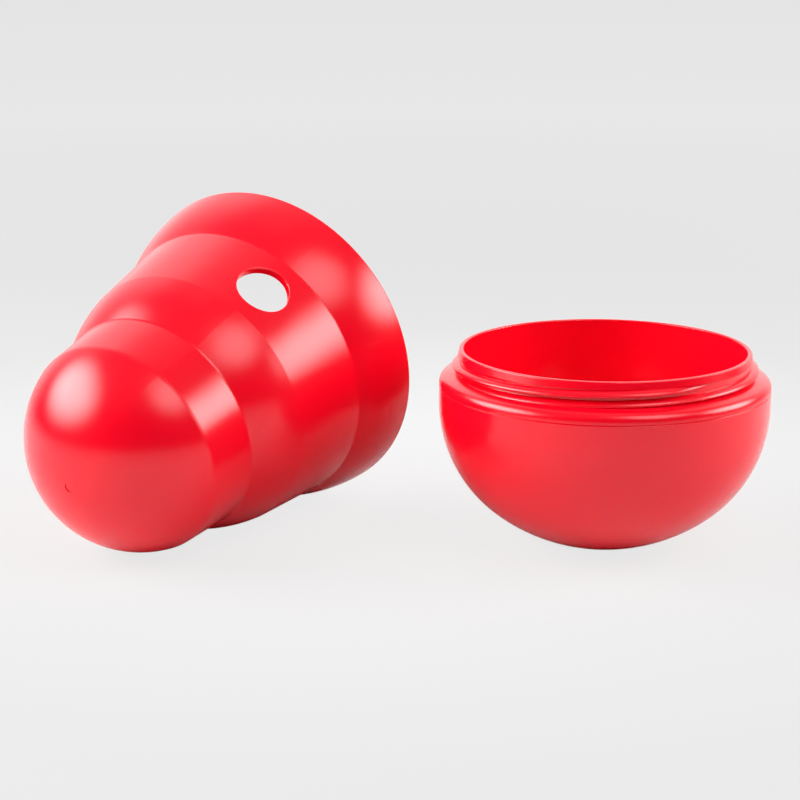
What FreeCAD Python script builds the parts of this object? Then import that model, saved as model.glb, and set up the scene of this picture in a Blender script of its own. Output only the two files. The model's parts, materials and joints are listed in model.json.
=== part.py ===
import FreeCAD, Part
import math
import operator
import os
import Sketcher

# A wobble treat dispenser, unscrewed: the weighted base stands on its small foot and the lobed top
# lies on its side next to it. Millimetres, +Z up, origin at the centre of the base's foot.

# Driving dimensions, in millimetres and degrees.
SIZES = [
    # outer bowl, from the foot up
    ("foot_cut", 1.3),
    ("foot_round", 1.0),
    ("belly_slope", 53.13),
    ("widest_height", 62.7),
    ("bowl_radius", 72.0),
    ("band_height", 7.5),
    ("base_wall", 3.0),
    # ballast slug, between the bowl and the cup's floor
    ("ballast_height", 12.3),
    ("ballast_gap", 0.5),
    # treat cup, from its edge at the seam up to the lip, and then inside
    ("edge_height", 3.8),
    ("seam_bevel", 0.3),
    ("shoulder_slope", 20.0),
    ("shoulder_round", 4.0),
    ("neck_inset", 8.8),
    ("neck_round", 2.0),
    ("neck_height", 12.3),
    ("rim_wall", 1.9),
    ("lip_height", 3.2),
    ("lip_bead", 0.7),
    ("lip_lean", 14.0),
    ("lip_round", 0.6),
    ("cup_corner_radius", 34.0),
    ("cup_draft", 1.5),
    ("spigot_length", 3.0),
    ("spigot_wall", 2.0),
    ("spigot_gap", 0.3),
    # screw joint between the cup's neck and the top's bore
    ("thread_depth", 3.4),
    ("thread_gap", 0.8),
    ("seat_gap", 0.5),
    # lobed top, from its mouth to the tip of its dome
    ("mouth_overhang", 2.7),
    ("mouth_round", 0.8),
    ("lobe_three_radius", 80.0),
    ("lobe_three_height", 29.5),
    ("lobe_three_step", 9.1),
    ("crease_round", 2.5),
    ("band_two_height", 38.1),
    ("band_two_draft", 8.2),
    ("lobe_two_height", 24.4),
    ("lobe_two_radius", 75.0),
    ("lobe_two_step", 15.4),
    ("band_one_height", 24.6),
    ("dome_lift", 10.3),
    ("dome_inset", 0.1),
    ("edge_round", 8.0),
    ("shell_wall", 3.5),
    ("hole_radius", 11.8),
    ("hole_lift", 18.9),
    ("hole_round", 0.6),
    ("gate_radius", 2.0),
    ("gate_depth", 0.4),
    # where the top lies on the floor
    ("top_x", -148.8),
    ("top_y", 69.9),
    ("top_yaw", 238.9),
    ("top_roll", 144.3),
]


def joined(first, sign, second, work):
    """Two sizes, or a size and a plain number, joined by a sign."""
    first, second = [item if isinstance(item, Size) else Size(str(item), item)
                     for item in (first, second)]
    return Size("(%s %s %s)" % (first.text, sign, second.text), work(first.value, second.value))


class Size:
    """A number together with the spreadsheet expression that gives it."""

    def __init__(self, text, value):
        self.text = text
        self.value = value

    def __add__(self, other):
        return joined(self, "+", other, operator.add)

    def __radd__(self, other):
        return joined(other, "+", self, operator.add)

    def __sub__(self, other):
        return joined(self, "-", other, operator.sub)

    def __rsub__(self, other):
        return joined(other, "-", self, operator.sub)

    def __mul__(self, other):
        return joined(self, "*", other, operator.mul)

    def __truediv__(self, other):
        return joined(self, "/", other, operator.truediv)

    def __rtruediv__(self, other):
        return joined(other, "/", self, operator.truediv)

    def turned(self, function):
        """The sine, cosine or tangent of an angle in degrees."""
        value = getattr(math, function)(math.radians(self.value))
        return Size("%s(%s * 1 deg)" % (function, self.text), value)


doc = FreeCAD.newDocument("wobble_dispenser")
sheet = doc.addObject("Spreadsheet::Sheet", "Sizes")
for row, (alias, number) in enumerate(SIZES, start=1):
    sheet.set("A%d" % row, alias)
    sheet.set("B%d" % row, str(number))
    sheet.setAlias("B%d" % row, alias)
doc.recompute()
SIZE = {alias: Size("Sizes." + alias, float(sheet.get(alias))) for alias, number in SIZES}

# Levels and radii that more than one piece is built from.
BOWL_RADIUS = SIZE["bowl_radius"]
SPREAD = 1 / SIZE["belly_slope"].turned("cos")
DROP = SIZE["belly_slope"].turned("tan")
FLANK_OFFSET = (BOWL_RADIUS - SIZE["widest_height"] - SIZE["foot_cut"]) / (1 + DROP - SPREAD)
BOTTOM_RADIUS = BOWL_RADIUS + FLANK_OFFSET * (SPREAD - 1)
BOTTOM_CENTRE = BOTTOM_RADIUS - SIZE["foot_cut"]
WALL = SIZE["base_wall"]
SEAM = SIZE["widest_height"] + SIZE["band_height"]
SHOULDER = SEAM + SIZE["edge_height"]
RIM = SHOULDER + SIZE["neck_height"]
NECK = BOWL_RADIUS - SIZE["neck_inset"]
CUP_UNDERSIDE = WALL + SIZE["ballast_height"]
CUP_FLOOR = CUP_UNDERSIDE + WALL
BORE = NECK + SIZE["thread_depth"] + SIZE["thread_gap"]
MOUTH = BOWL_RADIUS + SIZE["mouth_overhang"]
CREASE_TWO = MOUTH - SIZE["lobe_three_step"]
BAND_TWO_TOP = SIZE["lobe_three_height"] + SIZE["band_two_height"]
CREASE_ONE = CREASE_TWO - SIZE["lobe_two_step"]
CREASE_ONE_HEIGHT = BAND_TWO_TOP + SIZE["lobe_two_height"]
BAND_ONE_TOP = CREASE_ONE_HEIGHT + SIZE["band_one_height"]
DOME_HEIGHT = CREASE_ONE_HEIGHT + SIZE["dome_lift"]
DOME_RADIUS = CREASE_ONE - SIZE["dome_inset"]
TIP = DOME_HEIGHT + DOME_RADIUS

# how a sketch numbers an edge's own points, and its own axes
START, END, CENTRE = range(1, 4)
UPRIGHT_AXIS, LEVEL_AXIS = range(-2, 0)


def radians(alias):
    """One of the driving angles, in radians."""
    return math.radians(SIZE[alias].value)


class Outline:
    """A sketch on one of a body's own planes, drawn edge by edge from a first point."""

    def __init__(self, body, name, first, role="XZ_Plane"):
        self.sketch = body.newObject("Sketcher::SketchObject", name)
        plane = [item for item in body.Origin.OriginFeatures if item.Role == role][0]
        self.sketch.AttachmentSupport = (plane, "")
        self.sketch.MapMode = "FlatFace"
        self.first = first
        self.spot = first
        self.ends = []
        self.guides = 0

    def constrain(self, kind, *where):
        return self.sketch.addConstraint(Sketcher.Constraint(kind, *where))

    def joined(self, edge, opening, closing, smooth):
        """Join the new edge to the one before it and remember its far end."""
        if self.ends:
            self.constrain("Tangent" if smooth else "Coincident", *self.ends[-1], edge, opening)
        self.ends.append((edge, closing))
        return edge

    def line(self, to, smooth=False):
        """A straight edge to a point. One that is drawn level or upright stays so."""
        start = FreeCAD.Vector(*self.spot, 0)
        end = FreeCAD.Vector(*to, 0)
        edge = self.sketch.addGeometry(Part.LineSegment(start, end), False)
        if abs(start.y - end.y) < 1e-6:
            self.constrain("Horizontal", edge)
        if abs(start.x - end.x) < 1e-6:
            self.constrain("Vertical", edge)
        self.spot = to
        return self.joined(edge, START, END, smooth)

    def arc(self, centre, radius, to, smooth=False, clockwise=False):
        """A round edge to a point, anticlockwise unless it says otherwise."""
        ends = [to, self.spot] if clockwise else [self.spot, to]
        first, last = [math.atan2(end[1] - centre[1], end[0] - centre[0]) for end in ends]
        circle = Part.Circle(FreeCAD.Vector(*centre, 0), FreeCAD.Vector(0, 0, 1), radius)
        edge = self.sketch.addGeometry(Part.ArcOfCircle(circle, first, last), False)
        self.spot = to
        return self.joined(edge, END if clockwise else START, START if clockwise else END, smooth)

    def corner(self, spot):
        """A point that only guides the edges."""
        return self.sketch.addGeometry(Part.Point(FreeCAD.Vector(*spot, 0)), True)

    def traced(self, other, number):
        """An edge of another outline, as a guide: guides are numbered down from -3."""
        self.guides += 1
        self.sketch.addExternal(other.sketch.Name, "Edge%d" % number)
        return UPRIGHT_AXIS - self.guides

    def close(self):
        """A last straight edge back to the first point."""
        edge = self.line(self.first)
        self.constrain("Coincident", edge, END, 0, START)
        return edge

    def bind(self, name, size, kind, *where, number=None):
        """A dimension that follows the sheet."""
        index = self.constrain(kind, *where, size.value if number is None else number)
        self.sketch.renameConstraint(index, name)
        self.sketch.setExpression("Constraints." + name, size.text)

    def across(self, name, size, edge, end):
        self.bind(name, size, "DistanceX", edge, end)

    def up(self, name, size, edge, end):
        self.bind(name, size, "DistanceY", edge, end)

    def radius(self, name, size, edge):
        self.bind(name, size, "Radius", edge)

    def angle(self, name, size, edge):
        degrees = Size(size.text + " * 1 deg", size.value)
        self.bind(name, degrees, "Angle", edge, number=math.radians(size.value))

    def on_axis(self, edge, end):
        self.constrain("PointOnObject", edge, end, UPRIGHT_AXIS)

    def same_centre(self, edge, other):
        self.constrain("Coincident", edge, CENTRE, other, CENTRE)


def make_body(label):
    """A body whose label is the name of its piece."""
    body = doc.addObject("PartDesign::Body", label)
    body.Label = label
    return body


def turn(body, kind, name, outline):
    """A full turn of an outline about the upright axis: a Revolution adds, a Groove cuts."""
    feature = body.newObject("PartDesign::" + kind, name)
    feature.Profile = outline.sketch
    feature.ReferenceAxis = (outline.sketch, ["V_Axis"])
    feature.Angle = 360.0
    doc.recompute()
    return feature


def edges_where(shape, wanted):
    """Names of the edges whose sampled points all pass a test."""
    names = []
    for number, edge in enumerate(shape.Edges, start=1):
        if not edge.Degenerated and all(wanted(spot) for spot in edge.discretize(9)):
            names.append("Edge%d" % number)
    return names


def circles(shape, radius, height):
    """Names of the circles of this radius at this height about the upright axis."""
    def on_circle(spot):
        return abs(math.hypot(spot.x, spot.y) - radius) < 0.02 and abs(spot.z - height) < 0.02
    return edges_where(shape, on_circle)


def round_off(body, name, base, edges, size):
    """A fillet on named edges of the feature before it."""
    fillet = body.newObject("PartDesign::Fillet", name)
    fillet.Base = (base, edges)
    fillet.setExpression("Radius", size.text)
    doc.recompute()
    return fillet


def bevel_off(body, name, base, edges, size):
    """A straight bevel on named edges of the feature before it."""
    chamfer = body.newObject("PartDesign::Chamfer", name)
    chamfer.Base = (base, edges)
    chamfer.setExpression("Size", size.text)
    doc.recompute()
    return chamfer


def base_bowl():
    """The outer bowl: a flat foot, a wide bottom arc, a tighter flank arc and a short upright band."""
    radius = BOWL_RADIUS.value
    bottom = BOTTOM_RADIUS.value
    widest = SIZE["widest_height"].value
    wall = WALL.value
    centre = (0, BOTTOM_CENTRE.value)
    foot = math.sqrt(bottom ** 2 - centre[1] ** 2)
    inner_floor = math.sqrt((bottom - wall) ** 2 - (centre[1] - wall) ** 2)
    flank = radius - FLANK_OFFSET.value
    flank_centre = (FLANK_OFFSET.value, widest)
    slope = radians("belly_slope")
    merge = (bottom * math.cos(slope), centre[1] - bottom * math.sin(slope))
    inner_merge = (merge[0] - wall * math.cos(slope), merge[1] + wall * math.sin(slope))

    body = make_body("base_bowl")
    outline = Outline(body, "BowlOutline", (0, 0))
    under = outline.line((foot, 0))
    belly = outline.arc(centre, bottom, merge)
    side = outline.arc(flank_centre, flank, (radius, widest), smooth=True)
    band = outline.line((radius, SEAM.value), smooth=True)
    outline.line((radius - wall, SEAM.value))
    inner_band = outline.line((radius - wall, widest))
    inner_side = outline.arc(flank_centre, flank - wall, inner_merge, smooth=True, clockwise=True)
    inner_belly = outline.arc(centre, bottom - wall, (inner_floor, wall), smooth=True, clockwise=True)
    floor = outline.line((0, wall))
    outline.close()
    outline.constrain("Coincident", under, START, LEVEL_AXIS, START)
    outline.on_axis(belly, CENTRE)
    outline.same_centre(inner_side, side)
    outline.same_centre(inner_belly, belly)
    outline.radius("bottom", BOTTOM_RADIUS, belly)
    outline.up("centre", BOTTOM_CENTRE, belly, CENTRE)
    outline.up("widest", SIZE["widest_height"], side, END)
    outline.across("radius", BOWL_RADIUS, band, END)
    outline.up("seam", SEAM, band, END)
    outline.across("inside", BOWL_RADIUS - WALL, inner_band, START)
    outline.up("floor", WALL, floor, END)
    bowl = turn(body, "Revolution", "BowlWall", outline)
    rounded = round_off(body, "FootRound", bowl, circles(bowl.Shape, foot, 0), SIZE["foot_round"])
    bevel_off(body, "SeamBevel", rounded, circles(rounded.Shape, radius, SEAM.value), SIZE["seam_bevel"])
    return body


def base_cup():
    """The treat cup: lip, neck and sloping shoulder outside, and a round-cornered cup inside."""
    radius = BOWL_RADIUS.value
    wall = WALL.value
    neck = NECK.value
    rim = RIM.value
    mouth = NECK - SIZE["rim_wall"]
    lip = neck + SIZE["lip_bead"].value
    lip_foot = rim - SIZE["lip_height"].value
    lip_top = lip - SIZE["lip_height"].value * math.tan(radians("lip_lean"))
    slope = math.tan(radians("shoulder_slope"))
    neck_foot = SHOULDER.value + (radius - neck) * slope
    corner = SIZE["cup_corner_radius"].value
    lean = radians("cup_draft")
    level = CUP_FLOOR.value + corner
    centre = (mouth.value - (rim - level) * math.tan(lean) - corner / math.cos(lean), level)
    inner_merge = (centre[0] + corner * math.cos(lean), level - corner * math.sin(lean))
    outer_corner = corner + wall
    outer_merge = (centre[0] + outer_corner * math.cos(lean), level - outer_corner * math.sin(lean))
    spigot_out = BOWL_RADIUS - WALL - SIZE["spigot_gap"]
    spigot_in = spigot_out - SIZE["spigot_wall"]
    spigot_foot = SEAM - SIZE["spigot_length"]
    # the shoulder's underside runs one wall below its top, and meets the leaning outside of the cup
    skirt = wall / math.cos(radians("shoulder_slope"))
    spigot_top = SHOULDER.value + (radius - spigot_in.value) * slope - skirt
    gap = SHOULDER.value + (radius - outer_merge[0]) * slope - skirt - outer_merge[1]
    rise = gap / (1 + math.tan(lean) * slope)
    crook = (outer_merge[0] + rise * math.tan(lean), outer_merge[1] + rise)

    body = make_body("base_cup")
    outline = Outline(body, "CupOutline", (0, CUP_UNDERSIDE.value))
    underside = outline.line((centre[0], CUP_UNDERSIDE.value))
    outer_arc = outline.arc(centre, outer_corner, outer_merge, smooth=True)
    outer_wall = outline.line(crook, smooth=True)
    skirt_line = outline.line((spigot_in.value, spigot_top))
    inner_side = outline.line((spigot_in.value, spigot_foot.value))
    outline.line((spigot_out.value, spigot_foot.value))
    outer_side = outline.line((spigot_out.value, SEAM.value))
    outline.line((radius, SEAM.value))
    edge = outline.line((radius, SHOULDER.value))
    ledge = outline.line((neck, neck_foot))
    neck_line = outline.line((neck, lip_foot))
    outline.line((lip, lip_foot))
    bead = outline.line((lip_top, rim))
    outline.line((mouth.value, rim))
    inside = outline.line(inner_merge)
    inner_arc = outline.arc(centre, corner, (centre[0], CUP_FLOOR.value), smooth=True, clockwise=True)
    floor = outline.line((0, CUP_FLOOR.value), smooth=True)
    outline.close()
    outline.on_axis(underside, START)
    outline.same_centre(outer_arc, inner_arc)
    outline.constrain("Parallel", outer_wall, inside)
    outline.constrain("Parallel", skirt_line, ledge)
    outline.bind("skirt", WALL, "Distance", skirt_line, START, ledge)
    outline.up("underside", CUP_UNDERSIDE, underside, START)
    outline.up("floor", CUP_FLOOR, floor, END)
    outline.radius("corner", SIZE["cup_corner_radius"], inner_arc)
    outline.angle("lean", 270 - SIZE["cup_draft"], inside)
    outline.across("inside", mouth, inside, START)
    outline.across("neck", NECK, neck_line, START)
    outline.across("lip", NECK + SIZE["lip_bead"], bead, START)
    outline.angle("lip_lean", 90 + SIZE["lip_lean"], bead)
    outline.up("lip_foot", RIM - SIZE["lip_height"], bead, START)
    outline.up("rim", RIM, bead, END)
    outline.across("radius", BOWL_RADIUS, edge, END)
    outline.up("seam", SEAM, edge, START)
    outline.up("shoulder", SHOULDER, edge, END)
    outline.angle("slope", 180 - SIZE["shoulder_slope"], ledge)
    outline.across("spigot_out", spigot_out, outer_side, START)
    outline.across("spigot_in", spigot_in, inner_side, START)
    outline.up("spigot_foot", spigot_foot, inner_side, END)
    cup = turn(body, "Revolution", "CupWall", outline)
    rounded = round_off(body, "ShoulderRound", cup, circles(cup.Shape, radius, SHOULDER.value),
                        SIZE["shoulder_round"])
    rounded = round_off(body, "NeckRound", rounded, circles(rounded.Shape, neck, neck_foot),
                        SIZE["neck_round"])
    lip_edges = circles(rounded.Shape, lip_top, rim) + circles(rounded.Shape, mouth.value, rim)
    rounded = round_off(body, "LipRound", rounded, lip_edges, SIZE["lip_round"])
    bevel_off(body, "SeamBevel", rounded, circles(rounded.Shape, radius, SEAM.value), SIZE["seam_bevel"])
    return body


def ballast_weight():
    """The slug that lies between the bowl and the cup's floor, with the bowl's own curve below."""
    centre = BOTTOM_CENTRE.value
    curve = BOTTOM_RADIUS - WALL - SIZE["ballast_gap"]
    low = math.sqrt(curve.value ** 2 - (centre - WALL.value) ** 2)
    high = math.sqrt(curve.value ** 2 - (centre - CUP_UNDERSIDE.value) ** 2)

    body = make_body("ballast_weight")
    outline = Outline(body, "BallastOutline", (0, WALL.value))
    under = outline.line((low, WALL.value))
    side = outline.arc((0, centre), curve.value, (high, CUP_UNDERSIDE.value))
    over = outline.line((0, CUP_UNDERSIDE.value))
    outline.close()
    outline.on_axis(under, START)
    outline.on_axis(side, CENTRE)
    outline.up("below", WALL, under, START)
    outline.up("above", CUP_UNDERSIDE, over, END)
    outline.up("centre", BOTTOM_CENTRE, side, CENTRE)
    outline.radius("curve", curve, side)
    turn(body, "Revolution", "Slug", outline)
    return body


def bulge(start, end, radius):
    """Centre of the arc through two points of the top's outline that bulges away from the axis."""
    step = (end[0] - start[0], end[1] - start[1])
    chord = math.hypot(*step)
    reach = math.sqrt(radius ** 2 - chord ** 2 / 4) / chord
    return (start[0] + end[0]) / 2 - step[1] * reach, (start[1] + end[1]) / 2 + step[0] * reach


def leaning(start, angle, length):
    """The point at this distance up a line that leans in towards the axis."""
    return start[0] - length * math.sin(angle), start[1] + length * math.cos(angle)


def set_in(start, angle, wall):
    """The point one wall inside a line that leans in towards the axis."""
    return start[0] - wall * math.cos(angle), start[1] - wall * math.sin(angle)


def crossing(centre, radius, start, angle):
    """Where a leaning line meets a circle, at the crossing nearer to its start."""
    back = (start[0] - centre[0], start[1] - centre[1])
    along = -back[0] * math.sin(angle) + back[1] * math.cos(angle)
    root = math.sqrt(along ** 2 - back[0] ** 2 - back[1] ** 2 + radius ** 2)
    return leaning(start, angle, min((root - along, -root - along), key=abs))


class Lobes:
    """Corners and arc centres of the top's outline, with its mouth at height 0."""

    def __init__(self):
        self.mouth = (MOUTH.value, 0)
        self.crease_two = (CREASE_TWO.value, SIZE["lobe_three_height"].value)
        self.radius_three = SIZE["lobe_three_radius"].value
        self.centre_three = bulge(self.mouth, self.crease_two, self.radius_three)
        self.lean_two = radians("band_two_draft")
        self.band_two = leaning(self.crease_two, self.lean_two,
                                SIZE["band_two_height"].value / math.cos(self.lean_two))
        # crease two is hollowed out by an arc that touches lobe three and band two
        hollow = SIZE["crease_round"].value
        self.centre_crease = crossing(self.centre_three, self.radius_three + hollow,
                                      set_in(self.crease_two, self.lean_two, -hollow), self.lean_two)
        self.crease_one = (CREASE_ONE.value, CREASE_ONE_HEIGHT.value)
        self.radius_two = SIZE["lobe_two_radius"].value
        self.centre_two = bulge(self.band_two, self.crease_one, self.radius_two)
        self.dome = (0, DOME_HEIGHT.value)
        self.dome_radius = DOME_RADIUS.value
        above = BAND_ONE_TOP.value - self.dome[1]
        self.band_one = (math.sqrt(self.dome_radius ** 2 - above ** 2), BAND_ONE_TOP.value)
        self.lean_one = math.atan2(self.crease_one[0] - self.band_one[0],
                                   self.band_one[1] - self.crease_one[1])

    def tilt(self, centre, radius, start):
        """How far the lying top tips forward before this arc, or the corner it starts at, touches down."""
        across, along = self.centre_three
        step = (centre[0] - across, centre[1] - along)
        tilt = math.asin((self.radius_three - radius) / math.hypot(*step)) - math.atan2(*step)
        if radius and centre[1] + radius * math.sin(tilt) < start[1]:
            return self.tilt(start, 0, start)
        return tilt

    def lying(self):
        """Tilt of the top as it lies on lobe three and on the next lobe that touches down, and the
        height of its mouth's centre."""
        tilt = min(self.tilt(self.centre_two, self.radius_two, self.band_two),
                   self.tilt(self.dome, self.dome_radius, self.band_one))
        across, along = self.centre_three
        return tilt, along * math.sin(tilt) + across * math.cos(tilt) + self.radius_three


def top_outline(body, lobes):
    """The outside of the top: three lobes, each a round shoulder over a drafted band."""
    outline = Outline(body, "TopOutline", (0, 0))
    mouth = outline.line(lobes.mouth)
    hollow = SIZE["crease_round"].value
    share = lobes.radius_three / (lobes.radius_three + hollow)
    valley = tuple(near + (far - near) * share
                   for near, far in zip(lobes.centre_three, lobes.centre_crease))
    lobe_three = outline.arc(lobes.centre_three, lobes.radius_three, valley)
    crease = outline.arc(lobes.centre_crease, hollow, set_in(lobes.centre_crease, lobes.lean_two, hollow),
                         smooth=True, clockwise=True)
    band_two = outline.line(lobes.band_two, smooth=True)
    lobe_two = outline.arc(lobes.centre_two, lobes.radius_two, lobes.crease_one)
    outline.line(lobes.band_one)
    dome = outline.arc(lobes.dome, lobes.dome_radius, (0, TIP.value))
    outline.close()
    # the point where lobe three and band two would meet without their hollow
    corner = outline.corner(lobes.crease_two)
    outline.constrain("PointOnObject", corner, START, lobe_three)
    outline.constrain("PointOnObject", corner, START, band_two)
    outline.constrain("Coincident", mouth, START, LEVEL_AXIS, START)
    outline.on_axis(dome, CENTRE)
    outline.across("mouth", MOUTH, mouth, END)
    outline.radius("lobe_three", SIZE["lobe_three_radius"], lobe_three)
    outline.across("crease_two", CREASE_TWO, corner, START)
    outline.up("crease_two_height", SIZE["lobe_three_height"], corner, START)
    outline.radius("crease_round", SIZE["crease_round"], crease)
    outline.angle("band_two_draft", 90 + SIZE["band_two_draft"], band_two)
    outline.up("band_two_top", BAND_TWO_TOP, lobe_two, START)
    outline.radius("lobe_two", SIZE["lobe_two_radius"], lobe_two)
    outline.across("crease_one", CREASE_ONE, lobe_two, END)
    outline.up("crease_one_height", CREASE_ONE_HEIGHT, lobe_two, END)
    outline.up("band_one_top", BAND_ONE_TOP, dome, START)
    outline.up("dome_height", DOME_HEIGHT, dome, CENTRE)
    outline.radius("dome", DOME_RADIUS, dome)
    return outline


def cavity_outline(body, lobes, outside):
    """The inside of the top: the outline set in by the wall, with a straight bore in the mouth."""
    wall = SIZE["shell_wall"].value
    seat = BOWL_RADIUS + SIZE["seat_gap"]
    bore = BORE.value
    bore_foot = (bore, (seat.value - bore) * math.tan(radians("shoulder_slope")))
    inner_three = lobes.radius_three - wall
    hollow = SIZE["crease_round"].value + wall
    bore_top = crossing(lobes.centre_three, inner_three, bore_foot, 0)
    share = inner_three / (inner_three + hollow)
    valley = tuple(near + (far - near) * share
                   for near, far in zip(lobes.centre_three, lobes.centre_crease))
    band_two = crossing(lobes.centre_two, lobes.radius_two - wall,
                        set_in(lobes.band_two, lobes.lean_two, wall), lobes.lean_two)
    crease_one = crossing(lobes.centre_two, lobes.radius_two - wall,
                          set_in(lobes.crease_one, lobes.lean_one, wall), lobes.lean_one)
    band_one = crossing(lobes.dome, lobes.dome_radius - wall,
                        set_in(lobes.band_one, lobes.lean_one, wall), lobes.lean_one)
    tip = (0, lobes.dome[1] + lobes.dome_radius - wall)

    outline = Outline(body, "CavityOutline", (0, 0))
    mouth = outline.line((seat.value, 0))
    bevel = outline.line(bore_foot)
    collar = outline.line(bore_top)
    lobe_three = outline.arc(lobes.centre_three, inner_three, valley)
    crease = outline.arc(lobes.centre_crease, hollow, set_in(lobes.centre_crease, lobes.lean_two, hollow),
                         smooth=True, clockwise=True)
    band_two_line = outline.line(band_two, smooth=True)
    lobe_two = outline.arc(lobes.centre_two, lobes.radius_two - wall, crease_one)
    band_one_line = outline.line(band_one)
    dome = outline.arc(lobes.dome, lobes.dome_radius - wall, tip)
    outline.close()
    # edges 2 to 7 of the outside, which the inside runs along
    outer_three, outer_crease, outer_band_two, outer_two, outer_band_one, outer_dome = [
        outline.traced(outside, number) for number in range(2, 8)]
    outline.constrain("Coincident", mouth, START, LEVEL_AXIS, START)
    outline.same_centre(lobe_three, outer_three)
    outline.same_centre(crease, outer_crease)
    outline.same_centre(lobe_two, outer_two)
    outline.same_centre(dome, outer_dome)
    outline.constrain("Parallel", band_two_line, outer_band_two)
    outline.constrain("Parallel", band_one_line, outer_band_one)
    outline.across("seat", seat, mouth, END)
    outline.angle("bevel", 180 - SIZE["shoulder_slope"], bevel)
    outline.across("bore", BORE, collar, START)
    outline.radius("lobe_three", SIZE["lobe_three_radius"] - SIZE["shell_wall"], lobe_three)
    outline.radius("lobe_two", SIZE["lobe_two_radius"] - SIZE["shell_wall"], lobe_two)
    outline.bind("band_one", SIZE["shell_wall"], "Distance", band_one_line, START, outer_band_one)
    outline.radius("dome", DOME_RADIUS - SIZE["shell_wall"], dome)
    return outline


def gate_outline(body):
    """The shallow round mark that the mould's gate leaves on the tip of the dome."""
    low = TIP - SIZE["gate_depth"]
    high = TIP + SIZE["gate_depth"]
    reach = SIZE["gate_radius"]
    outline = Outline(body, "GateOutline", (0, low.value))
    bottom = outline.line((reach.value, low.value))
    outline.line((reach.value, high.value))
    lid = outline.line((0, high.value))
    outline.close()
    outline.on_axis(bottom, START)
    outline.across("radius", reach, bottom, END)
    outline.up("low", low, bottom, START)
    outline.up("high", high, lid, END)
    return outline


def treat_hole(body):
    """The round hole in the side of lobe two, square to the top's axis."""
    height = SIZE["lobe_three_height"] + SIZE["hole_lift"]
    radius = SIZE["hole_radius"]
    outline = Outline(body, "TreatHoleOutline", (0, height.value), "YZ_Plane")
    circle = Part.Circle(FreeCAD.Vector(0, height.value, 0), FreeCAD.Vector(0, 0, 1), radius.value)
    ring = outline.sketch.addGeometry(circle, False)
    outline.on_axis(ring, CENTRE)
    outline.up("height", height, ring, CENTRE)
    outline.radius("radius", radius, ring)
    hole = body.newObject("PartDesign::Pocket", "TreatHole")
    hole.Profile = outline.sketch
    hole.Reversed = True
    hole.setExpression("Length", MOUTH.text)
    doc.recompute()

    def on_edge(spot):
        reach = math.hypot(spot.y, spot.z - height.value)
        return spot.x > 0 and abs(reach - radius.value) < 0.05
    return round_off(body, "HoleRound", hole, edges_where(hole.Shape, on_edge), SIZE["hole_round"])


def top_shell():
    """The lobed top, modelled mouth down on its own axis and then laid on its side."""
    lobes = Lobes()
    body = make_body("top_shell")
    outside = top_outline(body, lobes)
    solid = turn(body, "Revolution", "LobedBody", outside)
    hollow = turn(body, "Groove", "Cavity", cavity_outline(body, lobes, outside))
    gated = turn(body, "Groove", "GateMark", gate_outline(body))
    holed = treat_hole(body)
    volumes = [feature.Shape.Volume for feature in (solid, hollow, gated, holed)]
    if volumes != sorted(volumes, reverse=True):
        raise RuntimeError("a cut in the top removed nothing")
    rounded = round_off(body, "MouthRound", holed, circles(holed.Shape, MOUTH.value, 0),
                        SIZE["mouth_round"])
    shape = rounded.Shape
    rounded = round_off(body, "CreaseRound", rounded, circles(shape, *lobes.crease_one),
                        SIZE["crease_round"])
    shape = rounded.Shape
    edges = circles(shape, *lobes.band_two) + circles(shape, *lobes.band_one)
    round_off(body, "EdgeRound", rounded, edges, SIZE["edge_round"])

    tilt, height = lobes.lying()
    place = FreeCAD.Vector(SIZE["top_x"].value, SIZE["top_y"].value, height)
    yaw = FreeCAD.Rotation(FreeCAD.Vector(0, 0, 1), SIZE["top_yaw"].value)
    lean = FreeCAD.Rotation(FreeCAD.Vector(0, 1, 0), 90 + math.degrees(tilt))
    roll = FreeCAD.Rotation(FreeCAD.Vector(0, 0, 1), SIZE["top_roll"].value)
    body.Placement = FreeCAD.Placement(place, yaw * lean * roll)
    print("the top lies with its mouth's centre at", place)
    axis = body.Placement.Rotation.multVec(FreeCAD.Vector(0, 0, 1))
    print("and its axis, from mouth to tip, along", axis)
    return body


pieces = [base_bowl(), base_cup(), ballast_weight(), top_shell()]
doc.recompute()

for item in doc.Objects:
    if "Invalid" in item.State or "Error" in item.State:
        raise RuntimeError("%s did not build: %s" % (item.Name, item.getStatusString()))
for piece in pieces:
    if piece.Shape.isNull() or not piece.Shape.isValid() or len(piece.Shape.Solids) != 1:
        raise RuntimeError("%s is not one sound solid" % piece.Label)

os.makedirs("parts", exist_ok=True)
for piece in pieces:
    piece.Shape.exportStep("parts/%s.step" % piece.Label)
    print(piece.Label, "%.1f cubic centimetres" % (piece.Shape.Volume / 1000))
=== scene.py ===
import json
import math

import bpy
from mathutils import Matrix, Vector


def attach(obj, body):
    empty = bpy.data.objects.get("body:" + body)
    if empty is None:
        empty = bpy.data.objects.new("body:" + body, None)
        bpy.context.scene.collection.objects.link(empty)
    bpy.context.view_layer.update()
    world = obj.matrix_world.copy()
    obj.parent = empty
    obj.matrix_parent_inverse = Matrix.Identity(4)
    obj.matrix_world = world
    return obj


# The wobble treat dispenser as it lies unscrewed: the weighted base upright, the lobed top on its side.
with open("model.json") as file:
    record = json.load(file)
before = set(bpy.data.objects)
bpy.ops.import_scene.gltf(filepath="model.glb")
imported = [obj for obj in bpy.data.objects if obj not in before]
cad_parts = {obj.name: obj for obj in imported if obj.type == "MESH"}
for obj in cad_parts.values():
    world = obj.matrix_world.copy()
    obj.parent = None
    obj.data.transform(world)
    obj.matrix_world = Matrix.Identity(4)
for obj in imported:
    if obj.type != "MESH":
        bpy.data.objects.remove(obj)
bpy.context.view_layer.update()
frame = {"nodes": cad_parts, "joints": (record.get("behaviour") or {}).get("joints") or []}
nodes = frame["nodes"]


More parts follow.
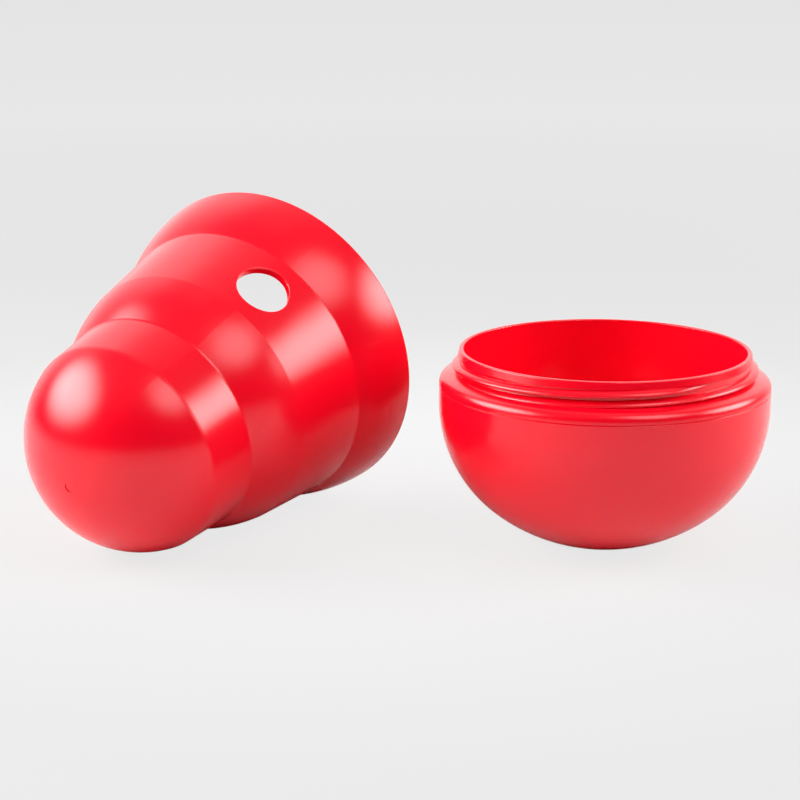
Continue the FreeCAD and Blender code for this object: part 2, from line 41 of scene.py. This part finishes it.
# The outer bowl: one moulding in solid red plastic, with the satin gloss that a polished mould leaves.
# It rocks on its round underside and closes against the cup's shoulder at a seam just under the edge.
class Signal:
    """An output of one of a material's nodes. Sums and products of signals add their own nodes."""

    def __init__(self, tree, socket=None):
        self.tree = tree
        self.socket = socket

    def node(self, kind, settings=None, inputs=None, output=0):
        """Any other node: its settings are set first, then the values or signals of its sockets."""
        made = self.tree.nodes.new(kind)
        for name, value in (settings or {}).items():
            if name == "stops":
                ramp = made.color_ramp
                while len(ramp.elements) < len(value):
                    ramp.elements.new(1)
                for stop, (place, colour) in zip(ramp.elements, value):
                    stop.position = place
                    stop.color = colour
            else:
                setattr(made, name, value)
        for key, value in (inputs or {}).items():
            if isinstance(value, Signal):
                self.tree.links.new(value.socket, made.inputs[key])
            else:
                made.inputs[key].default_value = value
        return Signal(self.tree, made.outputs[output] if made.outputs else None)

    def maths(self, operation, other):
        return self.node("ShaderNodeMath", {"operation": operation}, {0: self, 1: other})

    def __add__(self, other):
        return self.maths("ADD", other)

    def __mul__(self, other):
        return self.maths("MULTIPLY", other)

    __radd__ = __add__
    __rmul__ = __mul__


def blank_material(name):
    """A new material without nodes, and the signal that makes its first ones."""
    material = bpy.data.materials.new(name)
    material.use_nodes = True
    tree = material.node_tree
    tree.nodes.clear()
    return material, Signal(tree)


def noise(place, scale, detail, roughness=0.5):
    """A noise pattern in the piece's own space. The larger the scale, the finer it is."""
    return place.node("ShaderNodeTexNoise", inputs={
        "Vector": place, "Scale": scale, "Detail": detail, "Roughness": roughness})


def blended(factor, first, second):
    """Goes from the first colour to the second while the factor goes from 0 to 1."""
    return factor.node("ShaderNodeMix", {"data_type": "RGBA"},
                       {"Factor": factor, "A": first, "B": second}, output="Result")


MM = 0.001


def moulded_plastic(name, colour, deep_colour):
    """Glossy moulded plastic: faint flow clouds in its colour, and a gloss that is rubbed in places.
    Its relief is a slow sink, a soft ripple and a fine grain, in tenths of a millimetre."""
    material, graph = blank_material(name)
    place = graph.node("ShaderNodeTexCoord", output="Object")
    clouds = noise(place, 9.0, 2.0)
    sink = noise(place, 38.0, 1.0)
    ripple = noise(place, 160.0, 2.0)
    grain = noise(place, 1800.0, 2.0)
    rubs = noise(place, 45.0, 6.0, roughness=0.75)
    relief = sink * 2.0 + ripple * 0.16 + grain * 0.06
    bump = graph.node("ShaderNodeBump", inputs={"Height": relief, "Strength": 1.0, "Distance": 0.1 * MM})
    shader = graph.node("ShaderNodeBsdfPrincipled", inputs={
        "Base Color": blended(clouds, colour, deep_colour),
        "Roughness": 0.17 + rubs * 0.07,
        "Normal": bump,
        "IOR": 1.5,
    })
    graph.node("ShaderNodeOutputMaterial", inputs={"Surface": shader})
    return material


def dress(node, material):
    """Puts a material on one of the frame's own solids."""
    data = nodes[node].data
    data.materials.clear()
    data.materials.append(material)


RED = (0.90, 0.0012, 0.016, 1)
DEEP_RED = (0.84, 0.0010, 0.014, 1)
dress("base_bowl", moulded_plastic("bowl_red_plastic", RED, DEEP_RED))

# The ballast: a rough iron slug, cast in sand and sealed between the bowl and the cup's floor, where it
# rights the toy. It is dark, pitted and uneven in gloss.
IRON_DARK = (0.05, 0.05, 0.055, 1)
IRON_PALE = (0.2, 0.19, 0.18, 1)
cast_iron, graph = blank_material("ballast_iron")
pits = noise(graph.node("ShaderNodeTexCoord", output="Object"), 600.0, 6.0)
shader = graph.node("ShaderNodeBsdfPrincipled", inputs={
    "Base Color": blended(pits, IRON_DARK, IRON_PALE),
    "Roughness": 0.45 + pits * 0.4,
    "Metallic": 0.9,
    "Normal": graph.node("ShaderNodeBump", inputs={"Height": pits, "Strength": 0.5, "Distance": 0.6 * MM}),
})
graph.node("ShaderNodeOutputMaterial", inputs={"Surface": shader})
dress("ballast_weight", cast_iron)

# The treat cup: one moulding with its lip, its threaded neck and the shoulder that the top sits on.
# The two ridges of its right-hand thread are moulded with it: each climbs out of the shoulder and
# fades away under the lip.
STARTS = 2
LEAD = 8.4 * MM
STEPS_PER_TURN = 144
CORNER_ROUND = 0.25 * MM
# A ridge's root lies this deep in its wall, so that its ends are buried.
BITE = 0.3 * MM
# Over this part of a turn at each end, a ridge sinks to these shares of its depth and height.
FADE_TURNS = 0.07
END_DEPTH = 0.05
END_HEIGHT = 0.4


def helical_ridge(name, corners, root, start_turn, turns):
    """A thread ridge: its cross-section, given as (radius, height) corners, wound up the Z axis."""
    bpy.ops.object.select_all(action="DESELECT")
    bpy.ops.mesh.primitive_circle_add(vertices=len(corners), fill_type="NOTHING")
    ridge = bpy.context.object
    ridge.name = name
    for vertex, (radius, height) in zip(ridge.data.vertices, corners):
        vertex.co = (radius, 0, height)
    bpy.ops.object.mode_set(mode="EDIT")
    bpy.ops.mesh.select_all(action="SELECT")
    bpy.ops.mesh.bevel(offset=CORNER_ROUND, segments=4, affect="VERTICES")
    bpy.ops.object.mode_set(mode="OBJECT")
    ring = len(ridge.data.vertices)
    steps = round(turns * STEPS_PER_TURN)
    wind = ridge.modifiers.new("wind", "SCREW")
    wind.axis = "Z"
    wind.angle = 2 * math.pi * turns
    wind.screw_offset = LEAD * turns
    wind.steps = steps
    wind.render_steps = steps
    bpy.ops.object.modifier_apply(modifier="wind")
    for vertex in ridge.data.vertices:
        turn = turns * (vertex.index // ring) / steps
        share = min(1, min(turn, turns - turn) / FADE_TURNS)
        share = END_DEPTH + (1 - END_DEPTH) * share * share * (3 - 2 * share)
        middle = LEAD * turn
        height = (vertex.co.z - middle) * (END_HEIGHT + (1 - END_HEIGHT) * share)
        angle = math.atan2(vertex.co.y, vertex.co.x)
        radius = math.hypot(vertex.co.x, vertex.co.y)
        radius = root + (radius - root) * share
        vertex.co = (radius * math.cos(angle), radius * math.sin(angle), middle + height)
    bpy.ops.object.mode_set(mode="EDIT")
    bpy.ops.mesh.select_all(action="SELECT")
    bpy.ops.mesh.fill_holes(sides=0)
    bpy.ops.mesh.normals_make_consistent(inside=False)
    bpy.ops.object.mode_set(mode="OBJECT")
    ridge.data.transform(Matrix.Rotation(2 * math.pi * start_turn, 4, "Z"))
    bpy.ops.object.shade_smooth_by_angle(angle=math.radians(50))
    return ridge


cup_plastic = moulded_plastic("cup_red_plastic", RED, DEEP_RED)
dress("base_cup", cup_plastic)
NECK_RADIUS = 63.2 * MM
NECK_THREAD_FOOT = 74.8 * MM
NECK_TURNS = 0.86
# Corners in mm, out from the neck's wall and up from the ridge's middle.
neck_section = [(-0.5, 2.0), (0.2, 1.9), (1.2, 1.6), (2.2, 1.15), (2.95, 0.5), (3.3, -0.1), (3.1, -0.6),
                (2.4, -0.85), (0.6, -1.2), (0.0, -1.45), (-0.5, -1.5)]
corners = [(NECK_RADIUS + out * MM, up * MM) for out, up in neck_section]
for number in range(STARTS):
    ridge = helical_ridge(f"neck_thread_{number + 1}", corners, NECK_RADIUS - BITE,
                          number / STARTS, NECK_TURNS)
    ridge.data.transform(Matrix.Translation((0, 0, NECK_THREAD_FOOT)))
    ridge.data.materials.append(cup_plastic)
    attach(ridge, "base")

# The top: one hollow moulding of three lobes, with the treat hole in its side and the other half of
# the thread inside its mouth. The ridges are made upright over the mouth and then laid into it.
top_plastic = moulded_plastic("top_red_plastic", RED, DEEP_RED)
dress("top_shell", top_plastic)
turn_joint = frame["joints"][0]
mouth = Vector(turn_joint["pos_m"])
axis = Vector(turn_joint["axis"])
lay_down = Matrix.Translation(mouth) @ axis.to_track_quat("Z", "Y").to_matrix().to_4x4()
BORE_RADIUS = 67.4 * MM
BORE_THREAD_FOOT = 5.5 * MM
BORE_START_TURN = 0.1
BORE_TURNS = 0.7
bore_section = [(0.5, 1.5), (0.0, 1.3), (-0.8, 1.0), (-2.9, 0.5), (-3.1, 0.0), (-2.9, -0.5), (-0.8, -1.0),
                (0.0, -1.3), (0.5, -1.5)]
corners = [(BORE_RADIUS + out * MM, up * MM) for out, up in bore_section]
for number in range(STARTS):
    ridge = helical_ridge(f"bore_thread_{number + 1}", corners, BORE_RADIUS + BITE,
                          BORE_START_TURN + number / STARTS, BORE_TURNS)
    ridge.data.transform(lay_down @ Matrix.Translation((0, 0, BORE_THREAD_FOOT)))
    ridge.data.materials.append(top_plastic)
    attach(ridge, "top")

# The studio: a pale paper floor with a painted pool of light on it, which the camera sees nearly free of
# shade, a room that is dark behind the camera and pale behind the object, and three softboxes.
bpy.ops.object.select_all(action="DESELECT")
bpy.ops.mesh.primitive_plane_add(size=14)
floor = bpy.context.object
floor.name = "floor"
POOL_MIDDLE = (-0.09, 0.1, 0)
POOL_EDGE = 4.0
# Painted light: the greys of a pool of light painted on the paper, each with its distance in metres from the
# pool's middle.
painted_light_greys = [(0, 0.92), (0.12, 0.90), (0.35, 0.79), (0.6, 0.78), (1.0, 0.82), (1.6, 0.87), (POOL_EDGE, 0.85)]
# This share of what the camera sees of the floor is the painted pool of light, given off as a glow. The rest
# takes light and shadow.
GLOW_SHARE = 0.88
material, graph = blank_material("floor_paper_and_painted_light")
place = graph.node("ShaderNodeTexCoord", output="Object")
from_middle = graph.node("ShaderNodeVectorMath", {"operation": "SUBTRACT"}, {0: place, 1: POOL_MIDDLE})
reach = graph.node("ShaderNodeVectorMath", {"operation": "LENGTH"}, {0: from_middle}, output="Value")
stops = [(distance / POOL_EDGE, (grey, grey, grey, 1)) for distance, grey in painted_light_greys]
# Painted light: a pool of light painted on the floor, brightest at its middle.
painted_light_pool = graph.node("ShaderNodeValToRGB", {"stops": stops}, {"Fac": reach * (1 / POOL_EDGE)})
seen = graph.node("ShaderNodeLightPath", output="Is Camera Ray")
mirrored = graph.node("ShaderNodeLightPath", output="Is Glossy Ray")
# A gloss on the object mirrors the floor's shaded paper near it, and the painted pool of light further out.
far_share = graph.node("ShaderNodeMapRange", inputs={
    "Value": reach, "From Min": 0.25, "From Max": 0.9, "To Min": 0.0, "To Max": GLOW_SHARE}, output="Result")
paper = graph.node("ShaderNodeBsdfDiffuse", inputs={"Color": (0.7, 0.7, 0.7, 1)})
# The floor gives off the painted pool of light as a glow, though it is no lamp.
glow = graph.node("ShaderNodeEmission", inputs={"Color": painted_light_pool})
shade = graph.node("ShaderNodeMixShader", inputs={
    "Fac": seen * GLOW_SHARE + mirrored * far_share, 1: paper, 2: glow})
graph.node("ShaderNodeOutputMaterial", inputs={"Surface": shade})
floor.data.materials.append(material)


def eased(value, low, high, first, last):
    """Goes smoothly from the first strength to the last while the value goes from low to high."""
    return value.node("ShaderNodeMapRange", {"interpolation_type": "SMOOTHSTEP"},
                      {"Value": value, "From Min": low, "From Max": high, "To Min": first, "To Max": last},
                      output="Result")


BACKDROP = 0.77
world = bpy.data.worlds.new("studio")
world.use_nodes = True
world.node_tree.nodes.clear()
graph = Signal(world.node_tree)
direction = graph.node("ShaderNodeTexCoord", output="Generated")
rise = graph.node("ShaderNodeSeparateXYZ", inputs={"Vector": direction}, output="Z")
level = graph.node("ShaderNodeVectorMath", {"operation": "MULTIPLY"}, {0: direction, 1: (1, 1, 0)})
compass = graph.node("ShaderNodeVectorMath", {"operation": "NORMALIZE"}, {0: level})
behind = graph.node("ShaderNodeSeparateXYZ", inputs={"Vector": compass}, output="Y")
far_wall = eased(behind, 0.45, 0.99, 0, 1.25) * eased(rise, 0.68, 0.95, 1, 0.15)
ceiling = eased(rise, 0.4, 1.0, 0.02, 0.22)
seen = graph.node("ShaderNodeLightPath", output="Is Camera Ray")
strength = graph.node("ShaderNodeMix", {"data_type": "FLOAT"},
                      {"Factor": seen, "A": far_wall + ceiling, "B": BACKDROP}, output="Result")
sky = graph.node("ShaderNodeBackground", inputs={"Color": (1, 1, 1, 1), "Strength": strength})
graph.node("ShaderNodeOutputWorld", inputs={"Surface": sky})
bpy.context.scene.world = world

LOOK_AT = Vector((-0.07, 0.0, 0.07))


def softbox(name, azimuth, height, distance, width, tall, radiance):
    """A lamp that faces the object, its cloth brightest in the middle. The angles are in degrees:
    azimuth 0 is on the camera's side and 90 on its right."""
    light = bpy.data.lights.new(name, "AREA")
    light.shape = "RECTANGLE"
    light.size = width
    light.size_y = tall
    light.energy = radiance * math.pi * width * tall
    light.use_nodes = True
    light.node_tree.nodes.clear()
    cloth = Signal(light.node_tree)
    place = cloth.node("ShaderNodeNewGeometry", output="Parametric")
    centred = cloth.node("ShaderNodeVectorMath", {"operation": "SUBTRACT"}, {0: place, 1: (0.5, 0.5, 0)})
    reach = cloth.node("ShaderNodeVectorMath", {"operation": "LENGTH"}, {0: centred}, output="Value")
    glow = cloth.node("ShaderNodeEmission", inputs={"Strength": eased(reach, 0.1, 0.52, 1.0, 0.0)})
    cloth.node("ShaderNodeOutputLight", inputs={"Surface": glow})
    lamp = bpy.data.objects.new(name, light)
    bpy.context.scene.collection.objects.link(lamp)
    across = math.radians(azimuth)
    up = math.radians(height)
    towards = Vector((math.sin(across) * math.cos(up), -math.cos(across) * math.cos(up), math.sin(up)))
    lamp.location = LOOK_AT + towards * distance
    lamp.rotation_euler = towards.to_track_quat("Z", "Y").to_euler()
    lamp.visible_camera = False


softbox("left_softbox", azimuth=-86, height=31, distance=1.1, width=1.6, tall=1.08, radiance=11.4)
softbox("right_softbox", azimuth=96, height=25, distance=1.2, width=1.2, tall=0.9, radiance=10)
softbox("top_softbox", azimuth=44, height=51, distance=1.4, width=1.3, tall=1.3, radiance=4.2)

CAMERA_PLACE = (-0.08892, -0.89058, 0.28577)
TILT_DOWN = 14.03
VIEW_ANGLE = 21.55
camera = bpy.data.cameras.new("camera")
camera.sensor_width = 36
camera.angle = math.radians(VIEW_ANGLE)
stand = bpy.data.objects.new("camera", camera)
bpy.context.scene.collection.objects.link(stand)
stand.location = CAMERA_PLACE
stand.rotation_euler = (math.radians(90 - TILT_DOWN), 0, 0)
bpy.context.scene.camera = stand
bpy.context.scene.view_settings.view_transform = "Standard"
